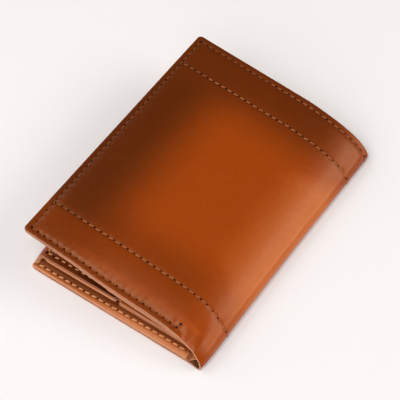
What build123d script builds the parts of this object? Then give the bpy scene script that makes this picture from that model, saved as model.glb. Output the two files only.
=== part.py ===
from build123d import *
import math
import os

# Trifold wallet, resting on its back panel with the cover sprung slightly open.
# +Y runs along the folds (the long side), +X points to the rounded spine, +Z is up.
# Origin: middle of the overall box, on the surface the wallet lies on.

# ------------------------------------------------------------------ sizes (mm)
PANEL_LEN = 120.0        # length of the back and the cover along the folds
SKEW = 3.0               # how far the cover sits along +Y relative to the back
LEATHER = 1.0            # outer leather
COVER_LEFT = -3.5        # free edge of the cover, from the back's left side
COVER_TOP = 21.2         # height of the cover's top face at its free edge
COVER_DROP = 7.2         # fall of the cover's top face over COVER_RUN
COVER_RUN = 66.0
FOLD_R = 2.9             # outer radius of the left fold
FOLD_X = 3.0             # centre of that fold
TUCK_R = 2.0             # radius where the back turns up into the spine
TUCK_X = 80.9            # centre of that bend
SPINE_R = 3.2            # radius at the foot of the spine
CREASE_X, CREASE_Z = 73.0, 10.2   # crease between spine and cover, on the outer face
FLAP_LEN = 111.6         # length of the inner flap along the fold
FLAP_TIP = 39.5          # free edge of the flap
FLAP_RISE = 1.66         # degrees
FLAP_LINING = 0.7
GAP_DEG = 4.0            # clearance left at the fold lines, as an angle

BOARD = 0.3              # stiffener boards, let into the outer leather
LINING = 0.3
DIVIDER = 0.5
BACK_PANEL = 0.8
BACK_SLOT = 0.9
COVER_DIVIDER = 0.4
COVER_PANEL = 0.4
COVER_SLOT = 0.6
CORNER_R = 1.6

STITCH_PITCH = 3.2
STITCH_LEN = 2.3
STITCH_W = 0.6
STITCH_H = 0.25
STITCH_INSET = 2.4
CROSS_SEAM = 16.8        # cross seams, from each short edge

# --------------------------------------------------------------- derived shape
TILT = math.atan2(COVER_DROP, COVER_RUN)
CT, ST = math.cos(TILT), math.sin(TILT)
EDGE_STACK = LEATHER + LINING + COVER_DIVIDER + COVER_PANEL
SPINE_X = TUCK_X + TUCK_R
X0 = (SPINE_X + COVER_LEFT - EDGE_STACK * ST) / 2.0      # box centre, from the bend line
YB = -SKEW / 2.0         # middle of the back
YC = SKEW / 2.0          # middle of the cover
HALF = PANEL_LEN / 2.0

# spine: straight slope from the crease, tangent to the foot radius
foot = (SPINE_X - SPINE_R, TUCK_R)
dx, dz = foot[0] - CREASE_X, foot[1] - CREASE_Z
dist = math.hypot(dx, dz)
SLOPE = math.atan2(dz, dx) + math.asin(SPINE_R / dist)
SLOPE_LEN = math.sqrt(dist ** 2 - SPINE_R ** 2)
SC, SS = math.cos(SLOPE), math.sin(SLOPE)
Q = (CREASE_X + SLOPE_LEN * SC, CREASE_Z + SLOPE_LEN * SS)

# cover: straight top, then an arc tangent to the spine slope at the crease
# intersection of the two lines, both given as point + t * direction
det = CT * (-SS) - (-ST) * (-SC)
bx, bz = CREASE_X - COVER_LEFT, CREASE_Z - COVER_TOP
t_cov = (bx * (-SS) - bz * (-SC)) / det
meet = (COVER_LEFT + t_cov * CT, COVER_TOP - t_cov * ST)
back_off = math.hypot(meet[0] - CREASE_X, meet[1] - CREASE_Z)
BEND_S = t_cov - back_off                                 # end of the flat top
BEND = (COVER_LEFT + BEND_S * CT, COVER_TOP - BEND_S * ST)

# flap: tangent to the left fold
FA = math.radians(FLAP_RISE)
FC, FS = math.cos(FA), math.sin(FA)
FLAP_START = (FOLD_X - FOLD_R * FS, FOLD_R + FOLD_R * FC)         # tangent point on the fold
FLAP_W = (FLAP_TIP - FLAP_START[0]) / FC

# planes
SEC_B = Plane(origin=(-X0, YB, 0), x_dir=(1, 0, 0), z_dir=(0, -1, 0))
SEC_C = Plane(origin=(-X0, YC, 0), x_dir=(1, 0, 0), z_dir=(0, -1, 0))
SEC_S = Plane(origin=(-X0, 0, 0), x_dir=(1, 0, 0), z_dir=(0, -1, 0))
COVER = Plane(origin=(COVER_LEFT - X0, YC, COVER_TOP), x_dir=(CT, 0, -ST), z_dir=(ST, 0, CT))
FLAP = Plane(origin=(FLAP_START[0] - X0, YB, FLAP_START[1]), x_dir=(FC, 0, FS), z_dir=(-FS, 0, FC))
SPINE = Plane(origin=(CREASE_X - X0, 0, CREASE_Z), x_dir=(SC, 0, SS), z_dir=(-SS, 0, SC))
BACK = Plane(origin=(-X0, YB, 0), x_dir=(1, 0, 0), z_dir=(0, 0, 1))

print("hinge spine_fold", (SPINE_X - X0, TUCK_R))
print("hinge cover_fold", (CREASE_X - X0, CREASE_Z))
print("hinge flap_fold", (FOLD_X - FOLD_R - X0, FOLD_R))
print("X0", X0, "bend", BEND, "BEND_S", BEND_S, "slope deg", math.degrees(SLOPE), "Q", Q,
      "slope len", SLOPE_LEN, "tilt", math.degrees(TILT), "flap start", FLAP_START, "flap w", FLAP_W)

os.makedirs("parts", exist_ok=True)


def sheet(plane, x1, x2, length, depth, thick, corners="", r=CORNER_R):
    """A flat layer on a panel: from x1 to x2, `depth` under the plane, with
    rounded corners on its low-x ("l") or high-x ("h") side."""
    with BuildPart() as layer:
        with BuildSketch(plane.offset(-depth - thick)):
            with Locations(((x1 + x2) / 2, 0)):
                Rectangle(x2 - x1, length)
        extrude(amount=thick)
        cut = layer.edges().filter_by(lambda e: abs(e.length - thick) < 1e-4)
        pick = []
        for e in cut:
            u = plane.to_local_coords(e.center()).X
            if ("l" in corners and u < (x1 + x2) / 2) or ("h" in corners and u > (x1 + x2) / 2):
                pick.append(e)
        if pick:
            fillet(pick, radius=r)
    return layer


def stitches(plane, spots, along_x):
    """Separate stitches lying on a plane, one at each spot."""
    w, h = (STITCH_LEN, STITCH_W) if along_x else (STITCH_W, STITCH_LEN)
    with BuildPart() as row:
        with BuildSketch(plane):
            with Locations(*spots):
                Rectangle(w, h)
        extrude(amount=STITCH_H)
    return row


def run(a, b):
    """Stitch centres from a to b, evenly spaced at about the stitch pitch."""
    n = max(1, round((b - a) / STITCH_PITCH))
    return [a + (b - a) * (i + 0.5) / n for i in range(n)]


def save(part, name):
    part.label = name
    export_step(part, "parts/" + name + ".step")


# ==================================================================== the back
# outer leather: lower half of the left fold, flat back, upturned foot
with BuildPart() as back_shell:
    with BuildSketch(SEC_B) as s:
        with BuildLine():
            a1 = JernArc((FOLD_X, 0), (-1, 0), FOLD_R, -90)
            l1 = Line((FOLD_X, 0), (TUCK_X, 0))
            a2 = JernArc((TUCK_X, 0), (1, 0), TUCK_R, 90)
            l2 = Line(a2 @ 1, (SPINE_X - LEATHER, TUCK_R))
            a3 = ThreePointArc(l2 @ 1,
                               (TUCK_X + (TUCK_R - LEATHER) * math.cos(-math.pi / 4),
                                TUCK_R + (TUCK_R - LEATHER) * math.sin(-math.pi / 4)),
                               (TUCK_X, LEATHER))
            l3 = Line(a3 @ 1, (FOLD_X, LEATHER))
            a4 = ThreePointArc(l3 @ 1,
                               (FOLD_X + (FOLD_R - LEATHER) * math.cos(-3 * math.pi / 4),
                                FOLD_R + (FOLD_R - LEATHER) * math.sin(-3 * math.pi / 4)),
                               (FOLD_X - (FOLD_R - LEATHER), FOLD_R))
            l4 = Line(a4 @ 1, (FOLD_X - FOLD_R, FOLD_R))
        make_face()
    extrude(amount=HALF, both=True)
    with BuildSketch(BACK.offset(LEATHER - BOARD)):
        with Locations((39.5, 0)):
            Rectangle(68.0, PANEL_LEN - 11.0)
    extrude(amount=BOARD + 0.5, mode=Mode.SUBTRACT)
save(back_shell.part, "back_shell")

z = LEATHER
with BuildPart() as back_stiffener:
    with BuildSketch(BACK.offset(LEATHER - BOARD)):
        with Locations((39.5, 0)):
            Rectangle(67.6, PANEL_LEN - 11.4)
    extrude(amount=BOARD)
save(back_stiffener.part, "back_stiffener")

back_lining = sheet(BACK.offset(z + LINING), FOLD_X + 0.5, 79.5, PANEL_LEN, 0, LINING)
save(back_lining.part, "back_lining")
z += LINING
back_divider = sheet(BACK.offset(z + DIVIDER), FOLD_X + 0.5, 78.0, PANEL_LEN, 0, DIVIDER)
save(back_divider.part, "back_note_divider")
z += DIVIDER
back_panel = sheet(BACK.offset(z + BACK_PANEL), FOLD_X + 0.5, 76.5, PANEL_LEN, 0, BACK_PANEL)
save(back_panel.part, "back_inner_panel")
z += BACK_PANEL
PANEL_TOP = z

# three stepped card slots, mouths towards the flap, sewn in a little from the edges
back_slots = []
for i, x1 in enumerate((8.0, 25.0, 40.8)):
    slot = sheet(BACK.offset(z + BACK_SLOT), x1, 74.5, PANEL_LEN - 8.0, 0, BACK_SLOT)
    save(slot.part, "back_card_slot_%d" % (i + 1))
    z += BACK_SLOT
    back_slots.append(slot)

# sewn margin beside the slots
edge = HALF - STITCH_INSET
back_threads = stitches(BACK.offset(PANEL_TOP),
                        [(x, y) for x in run(FOLD_X + 2.0, 74.0) for y in (-edge, edge)], True)
save(back_threads.part, "back_margin_stitches")

# ==================================================================== the flap
with BuildPart() as flap_shell:
    with BuildSketch(SEC_B):
        with BuildLine():
            g = math.radians(GAP_DEG)
            fo = lambda r, a: (FOLD_X - r * math.cos(a), FOLD_R + r * math.sin(a))
            top = math.pi / 2 + FA
            b1 = ThreePointArc(fo(FOLD_R, g), fo(FOLD_R, math.pi / 4), fo(FOLD_R, math.pi / 2 - FA))
            tip = (FLAP_TIP, FLAP_START[1] + FLAP_W * FS)
            k1 = Line(b1 @ 1, tip)
            tip2 = (tip[0] + LEATHER * FS, tip[1] - LEATHER * FC)
            k2 = Line(tip, tip2)
            k3 = Line(tip2, fo(FOLD_R - LEATHER, math.pi / 2 - FA))
            b2 = ThreePointArc(k3 @ 1, fo(FOLD_R - LEATHER, math.pi / 4), fo(FOLD_R - LEATHER, g))
            k4 = Line(b2 @ 1, b1 @ 0)
        make_face()
    extrude(amount=FLAP_LEN / 2, both=True)
    tips = flap_shell.edges().filter_by(lambda e: abs(e.length - LEATHER) < 1e-3
                                        and e.center().X > FLAP_TIP - X0 - 1.0)
    fillet(tips, radius=CORNER_R)
    with BuildSketch(FLAP.offset(-LEATHER)):
        with Locations((FLAP_W / 2, 0)):
            Rectangle(FLAP_W - 11.0, FLAP_LEN - 11.0)
    extrude(amount=BOARD, mode=Mode.SUBTRACT)
save(flap_shell.part, "flap_shell")

with BuildPart() as flap_stiffener:
    with BuildSketch(FLAP.offset(-LEATHER)):
        with Locations((FLAP_W / 2, 0)):
            Rectangle(FLAP_W - 11.4, FLAP_LEN - 11.4)
    extrude(amount=BOARD)
save(flap_stiffener.part, "flap_stiffener")

flap_lining = sheet(FLAP, 0.6, FLAP_W, FLAP_LEN, LEATHER, FLAP_LINING, "h")
save(flap_lining.part, "flap_lining")

fe = FLAP_LEN / 2 - STITCH_INSET
with BuildPart() as flap_threads:
    with BuildSketch(FLAP):
        with Locations(*[(u, y) for u in run(2.6, FLAP_W - STITCH_INSET - 1.4) for y in (-fe, fe)]):
            Rectangle(STITCH_LEN, STITCH_W)
        with Locations(*[(FLAP_W - STITCH_INSET, y) for y in run(-fe + 1.4, fe - 1.4)]):
            Rectangle(STITCH_W, STITCH_LEN)
    extrude(amount=STITCH_H)
save(flap_threads.part, "flap_stitches")

# =================================================================== the spine
GAP = 0.15


def spine_strip(depth, thick, start, stop_deg, length, name):
    """A strip hugging the inside of the spine: sloped run, then the foot radius."""
    ro, ri = SPINE_R - depth, SPINE_R - depth - thick
    n = (-SS, SC)                        # outward normal of the slope, (x, z)
    on = lambda t, d: (CREASE_X + t * SC - d * n[0], CREASE_Z + t * SS - d * n[1])
    a0 = SLOPE + math.pi / 2             # polar angle of the slope's tangent point
    a1 = math.radians(stop_deg)
    am = (a0 + a1) / 2
    pt = lambda r, a: (foot[0] + r * math.cos(a), foot[1] + r * math.sin(a))
    with BuildPart() as strip:
        with BuildSketch(SEC_S):
            with BuildLine():
                m1 = Line(on(start, depth), on(SLOPE_LEN, depth))
                m2 = ThreePointArc(m1 @ 1, pt(ro, am), pt(ro, a1))
                m3 = Line(m2 @ 1, pt(ri, a1))
                m4 = ThreePointArc(m3 @ 1, pt(ri, am), on(SLOPE_LEN, depth + thick))
                m5 = Line(m4 @ 1, on(start, depth + thick))
                m6 = Line(m5 @ 1, m1 @ 0)
            make_face()
        extrude(amount=length / 2, both=True)
    save(strip.part, name)
    return strip


spine_shell = spine_strip(0.0, LEATHER, GAP, GAP_DEG, PANEL_LEN, "spine_shell")
spine_lining = spine_strip(LEATHER, 0.5, 0.6, 9.0, PANEL_LEN, "spine_lining")
spine_divider = spine_strip(LEATHER + 0.5, 0.4, 1.0, 20.0, PANEL_LEN, "spine_note_divider")

cross = HALF - CROSS_SEAM
spine_threads = stitches(SPINE, [(u, y) for u in run(0.9, SLOPE_LEN - 0.3)
                                 for y in (-cross, cross, HALF - STITCH_INSET)], True)
save(spine_threads.part, "spine_stitches")

# =================================================================== the cover
with BuildPart() as cover_shell:
    with BuildSketch(SEC_C):
        with BuildLine():
            inn = lambda p, n: (p[0] - LEATHER * n[0], p[1] - LEATHER * n[1])
            nc, ns = (ST, CT), (-SS, SC)
            p1, p2, p3 = (COVER_LEFT, COVER_TOP), BEND, (CREASE_X, CREASE_Z)
            c1 = Line(p1, p2)
            c2 = TangentArc(p2, p3, tangent=(CT, -ST))
            c3 = Line(p3, inn(p3, ns))
            c4 = TangentArc(inn(p3, ns), inn(p2, nc), tangent=(-SC, -SS))
            c5 = Line(inn(p2, nc), inn(p1, nc))
            c6 = Line(inn(p1, nc), p1)
        make_face()
    extrude(amount=HALF, both=True)
    ends = cover_shell.edges().filter_by(lambda e: abs(e.length - LEATHER) < 1e-3
                                         and e.center().X < COVER_LEFT - X0 + 1.0)
    fillet(ends, radius=CORNER_R)
    with BuildSketch(COVER.offset(-LEATHER)):
        with Locations((BEND_S / 2, 0)):
            Rectangle(BEND_S - 11.0, PANEL_LEN - 11.0)
    extrude(amount=BOARD, mode=Mode.SUBTRACT)
save(cover_shell.part, "cover_shell")

with BuildPart() as cover_stiffener:
    with BuildSketch(COVER.offset(-LEATHER)):
        with Locations((BEND_S / 2, 0)):
            Rectangle(BEND_S - 11.4, PANEL_LEN - 11.4)
    extrude(amount=BOARD)
save(cover_stiffener.part, "cover_stiffener")

d = LEATHER
cover_lining = sheet(COVER, 0.0, BEND_S, PANEL_LEN, d, LINING, "l")
save(cover_lining.part, "cover_lining")
d += LINING
cover_divider = sheet(COVER, 0.0, BEND_S - 0.6, PANEL_LEN, d, COVER_DIVIDER, "l")
save(cover_divider.part, "cover_note_divider")
d += COVER_DIVIDER
cover_panel = sheet(COVER, 0.0, BEND_S - 1.4, PANEL_LEN, d, COVER_PANEL, "l")
save(cover_panel.part, "cover_inner_panel")
d += COVER_PANEL
for i, x1 in enumerate((14.0, 27.0, 40.0)):
    if i < 3:
        slot = sheet(COVER, x1, BEND_S - 2.4, PANEL_LEN, d, COVER_SLOT)
        save(slot.part, "cover_card_slot_%d" % (i + 1))
        d += COVER_SLOT

ce = HALF - STITCH_INSET
with BuildPart() as cover_threads:
    with BuildSketch(COVER):
        with Locations(*[(u, y) for u in run(STITCH_INSET + 1.4, BEND_S) for y in (-ce, ce)]):
            Rectangle(STITCH_LEN, STITCH_W)
        with Locations(*[(STITCH_INSET, y) for y in run(-ce + 1.4, ce - 1.4)]):
            Rectangle(STITCH_W, STITCH_LEN)
    extrude(amount=STITCH_H)
save(cover_threads.part, "cover_edge_stitches")

cover_cross = stitches(COVER, [(u, y) for u in run(STITCH_INSET + 1.0, BEND_S) for y in (-cross, cross)], True)
save(cover_cross.part, "cover_cross_stitches")
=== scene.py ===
import math

import bpy
import numpy as np
from mathutils import Matrix, Vector


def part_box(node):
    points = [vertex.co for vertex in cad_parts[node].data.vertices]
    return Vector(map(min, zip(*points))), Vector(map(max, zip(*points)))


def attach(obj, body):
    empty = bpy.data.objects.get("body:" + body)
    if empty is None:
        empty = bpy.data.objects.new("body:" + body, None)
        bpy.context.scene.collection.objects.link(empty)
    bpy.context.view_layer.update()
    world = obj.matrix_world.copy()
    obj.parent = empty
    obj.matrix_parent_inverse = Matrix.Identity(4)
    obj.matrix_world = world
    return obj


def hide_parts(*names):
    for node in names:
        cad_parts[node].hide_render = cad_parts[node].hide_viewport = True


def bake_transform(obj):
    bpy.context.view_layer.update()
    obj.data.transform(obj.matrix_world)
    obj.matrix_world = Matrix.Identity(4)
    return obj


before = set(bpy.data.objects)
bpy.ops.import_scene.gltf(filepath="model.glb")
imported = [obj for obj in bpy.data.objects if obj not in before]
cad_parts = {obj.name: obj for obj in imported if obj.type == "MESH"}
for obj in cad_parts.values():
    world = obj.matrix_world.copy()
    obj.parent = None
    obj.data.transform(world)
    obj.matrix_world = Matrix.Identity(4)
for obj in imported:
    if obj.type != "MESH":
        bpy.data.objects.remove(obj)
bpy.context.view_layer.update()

rng = np.random.default_rng(7)

# ---------------------------------------------------------------- the frame, mm
# Local x runs from the back's left bend line; the CAD box gives where that is.
SPINE_X = 82.9
X0 = SPINE_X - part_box("back_shell")[1].x * 1000.0
YB = (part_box("back_shell")[0].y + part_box("back_shell")[1].y) * 500.0     # middle of the back
YC = (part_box("cover_shell")[0].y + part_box("cover_shell")[1].y) * 500.0   # middle of the cover
HALF = (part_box("cover_shell")[1].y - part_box("cover_shell")[0].y) * 500.0
FLAP_HALF = (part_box("flap_shell")[1].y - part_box("flap_shell")[0].y) * 500.0

LEATHER = 1.0
COVER = np.array([-3.5, 21.2])                 # free edge of the cover, top face
TILT = math.atan2(7.2, 66.0)
CU = np.array([math.cos(TILT), -math.sin(TILT)])
CREASE = np.array([73.0, 10.2])
FOLD = np.array([3.0, 2.9])                    # left fold: centre and radius
FOLD_R = 2.9
FA = math.radians(1.66)
EDGE_ROW = 2.4
CROSS_ROW = 16.8
PITCH = 3.2
FU = np.array([math.cos(FA), math.sin(FA)])
FLAP_START = FOLD + FOLD_R * np.array([-math.sin(FA), math.cos(FA)])
FLAP_W = (39.5 - FLAP_START[0]) / FU[0]
FLAP_TIP = FLAP_START + FLAP_W * FU


def smooth(t):
    t = np.clip(t, 0.0, 1.0)
    return t * t * (3 - 2 * t)


def gauss(x, s):
    return np.exp(-(x / s) ** 2)


# ------------------------------------------------- master line of the outer hide
# Section (x, z) of the outer face, from the flap's tip round the left fold, under
# the back, up the spine and along the cover to its free edge.
def spline(points, n=900):
    """A natural cubic through the points, (x, z)."""
    P = np.array(points, float)
    t = np.concatenate([[0], np.cumsum(np.sqrt(np.hypot(*np.diff(P, axis=0).T)))])
    N, h = len(P), np.diff(t)
    A, r = np.eye(N), np.zeros((N, 2))
    for i in range(1, N - 1):
        A[i, i - 1:i + 2] = h[i - 1], 2 * (h[i - 1] + h[i]), h[i]
        r[i] = 6 * ((P[i + 1] - P[i]) / h[i] - (P[i] - P[i - 1]) / h[i - 1])
    M = np.linalg.solve(A, r)
    x = np.linspace(0, t[-1], n)
    i = np.clip(np.searchsorted(t, x) - 1, 0, N - 2)
    a, b = (t[i + 1] - x) / h[i], (x - t[i]) / h[i]
    return (a[:, None] * P[i] + b[:, None] * P[i + 1]
            + ((a ** 3 - a)[:, None] * M[i] + (b ** 3 - b)[:, None] * M[i + 1]) * (h[i] ** 2)[:, None] / 6)


def line(a, b, n=200):
    t = np.linspace(0, 1, n)[:, None]
    return np.array(a) * (1 - t) + np.array(b) * t


def on_cover(x):
    return (x, COVER[1] - (x - COVER[0]) * math.tan(TILT))


def on_flap(x):
    return (x, FLAP_START[1] + (x - FLAP_START[0]) * math.tan(FA))


LEFT = spline([on_flap(10), on_flap(7), on_flap(4.6), (2.75, 5.52), (1.35, 4.75), (0.45, 3.6), (0.12, 2.3), (0.45, 1.1),
               (1.45, 0.3), (3.0, 0.02), (5.5, 0), (8, 0), (11, 0)])
SPINE = spline([(70, 0), (74, 0), (78, 0), (80.6, 0.12), (82.2, 1.1), (82.5, 2.5), (81.3, 4.5), (79, 6.1), (75.5, 8.35),
                (71.2, 10.45), (66, 12.3), (60, 13.75), on_cover(54), on_cover(48), on_cover(42)])
raw = np.concatenate([line(FLAP_TIP, LEFT[0])[:-1], LEFT, line(LEFT[-1], SPINE[0])[1:-1], SPINE,
                      line(SPINE[-1], COVER)[1:]])
keep = np.concatenate([[True], np.hypot(*np.diff(raw, axis=0).T) > 1e-9])
raw = raw[keep]
RU = np.concatenate([[0.0], np.cumsum(np.hypot(*np.diff(raw, axis=0).T))])
U_END = float(RU[-1])
ug = np.linspace(0, U_END, int(U_END / 0.05) + 1)
STEP = float(ug[1] - ug[0])
MASTER = np.stack([np.interp(ug, RU, raw[:, 0]), np.interp(ug, RU, raw[:, 1])], 1)


def u_where(x, lower, upper):
    """Arc length at which the line passes x, between two arc lengths."""
    k = (ug >= lower) & (ug <= upper)
    i = int(np.argmin(np.abs(MASTER[k, 0] - x)))
    return float(ug[k][i])


U_FOLD0 = u_where(3.6, 0, 40)                   # flap side of the left fold
U_FOLD1 = u_where(3.0, 40, 60)                  # back side of the left fold
u_nose = float(ug[int(np.argmax(MASTER[:, 0]))])  # foremost point of the spine
U_TUCK = u_where(79.0, 60, u_nose)              # back side of the spine
U_SEAM = u_where(77.2, u_nose, U_END)           # joint between the spine's two pieces
U_BEND = u_where(62.3, u_nose, U_END)


class Track:
    """A section line with its tangent and outward normal, read by arc length."""

    def __init__(self, xz, flip=False):
        self.u = np.concatenate([[0.0], np.cumsum(np.hypot(*np.diff(xz, axis=0).T))])
        self.p = xz
        t = np.gradient(xz, axis=0)
        t /= np.hypot(*t.T)[:, None]
        self.t = t
        self.n = np.stack([t[:, 1], -t[:, 0]], 1) * (-1 if flip else 1)
        self.length = float(self.u[-1])

    def at(self, u):
        f = lambda a: np.stack([np.interp(u, self.u, a[:, 0]), np.interp(u, self.u, a[:, 1])], -1)
        n = f(self.n)
        return f(self.p), f(self.t), n / np.linalg.norm(n, axis=-1, keepdims=True)


MAIN = Track(MASTER)


def straight(a, b, flip=False):
    a, b = np.array(a, float), np.array(b, float)
    n = int(np.hypot(*(b - a)) / 0.05) + 2
    t = np.linspace(0, 1, n)[:, None]
    return Track(a * (1 - t) + b * t, flip=flip)


def settle(v):
    """The closed wallet isn't quite true: the cover twists a little along its
    length, and the spine is drawn in at its middle. Local millimetres."""
    x, y = v[:, 0], v[:, 1]
    w = y / HALF
    upper = smooth((v[:, 2] - 7.0) / 2.0)
    out = v.copy()
    out[:, 2] += 0.70 * (y - YC) / HALF * smooth((72.0 - x) / 26.0) * upper
    # the cover's near edge sags, most of all just before the spine
    near = np.maximum(y - (YC - HALF), 0.0)
    over = smooth((v[:, 2] - 6.4) / 1.6) * smooth((78.5 - x) / 5.5)
    out[:, 2] -= over * (1.45 * smooth((x - 16.0) / 20.0) * (1 - smooth(near / 17.0))
                         + 0.45 * gauss(x - 71.0, 5.0) * np.exp(-(near / 6.0) ** 2))
    out[:, 0] -= 0.75 * np.clip(1 - w * w, 0, 1) * smooth((x - 60.0) / 18.0)
    return out


# ------------------------------------------------------------------ mesh making
def dense(a, b, coarse, spots, fine, reach):
    """Values from a to b, at most `coarse` apart and `fine` near each spot."""
    out, x = [a], a
    while x < b - 1e-6:
        near = min((abs(x - s) for s in spots), default=1e9)
        ahead = min((s - x for s in spots if s > x), default=1e9)
        step = fine + (coarse - fine) * float(smooth((near - reach) / (reach * 2.0)))
        if ahead < 1e8 and ahead > reach:
            step = min(step, max(fine, ahead - reach * 0.6))
        x = x + step
        out.append(min(x, b))
    if len(out) > 2 and out[-1] - out[-2] < fine * 0.4:
        out.pop(-2)
    return np.array(out)


def signed_volume(me):
    co = np.zeros(len(me.vertices) * 3)
    me.vertices.foreach_get("co", co)
    co = co.reshape(-1, 3)
    me.calc_loop_triangles()
    tr = np.zeros(len(me.loop_triangles) * 3, np.int32)
    me.loop_triangles.foreach_get("vertices", tr)
    tr = tr.reshape(-1, 3)
    return float(np.einsum("ij,ij->i", co[tr[:, 0]], np.cross(co[tr[:, 1]], co[tr[:, 2]])).sum() / 6)


def build(name, verts_mm, faces, mats, mat_index=None, luv=None, burn=None, sharp=None, rim=None):
    """A mesh object from millimetre points in the local frame."""
    v = settle(np.array(verts_mm, float))
    v[:, 0] -= X0
    v *= 0.001
    me = bpy.data.meshes.new(name)
    me.from_pydata(v.tolist(), [], faces)
    me.update()
    for mt in mats:
        me.materials.append(mt)
    if mat_index is not None:
        me.polygons.foreach_set("material_index", np.array(mat_index, np.int32))
    me.polygons.foreach_set("use_smooth", np.ones(len(me.polygons), bool))
    if luv is not None:
        at = me.attributes.new("luv", "FLOAT_VECTOR", "POINT")
        at.data.foreach_set("vector", np.array(luv, np.float32).ravel())
        at = me.attributes.new("rim", "FLOAT_VECTOR", "POINT")
        at.data.foreach_set("vector", np.array(luv if rim is None else rim, np.float32).ravel())
    # burn: per-point tone, hand burnish and in places painted shade and painted highlights
    if burn is None:
        burn = np.zeros(len(v))
    at = me.attributes.new("burn", "FLOAT", "POINT")
    at.data.foreach_set("value", np.array(burn, np.float32).ravel())
    if sharp:
        pairs = set(tuple(sorted((int(p), int(q)))) for p, q in sharp)
        ev = np.zeros(len(me.edges) * 2, np.int32)
        me.edges.foreach_get("vertices", ev)
        ev = ev.reshape(-1, 2)
        flags = np.array([(min(p, q), max(p, q)) in pairs for p, q in ev.tolist()])
        at = me.attributes.get("sharp_edge") or me.attributes.new("sharp_edge", "BOOLEAN", "EDGE")
        at.data.foreach_set("value", flags)
    me.update()
    if signed_volume(me) < 0:
        me.flip_normals()
    ob = bpy.data.objects.new(name, me)
    bpy.context.scene.collection.objects.link(ob)
    return ob


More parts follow.
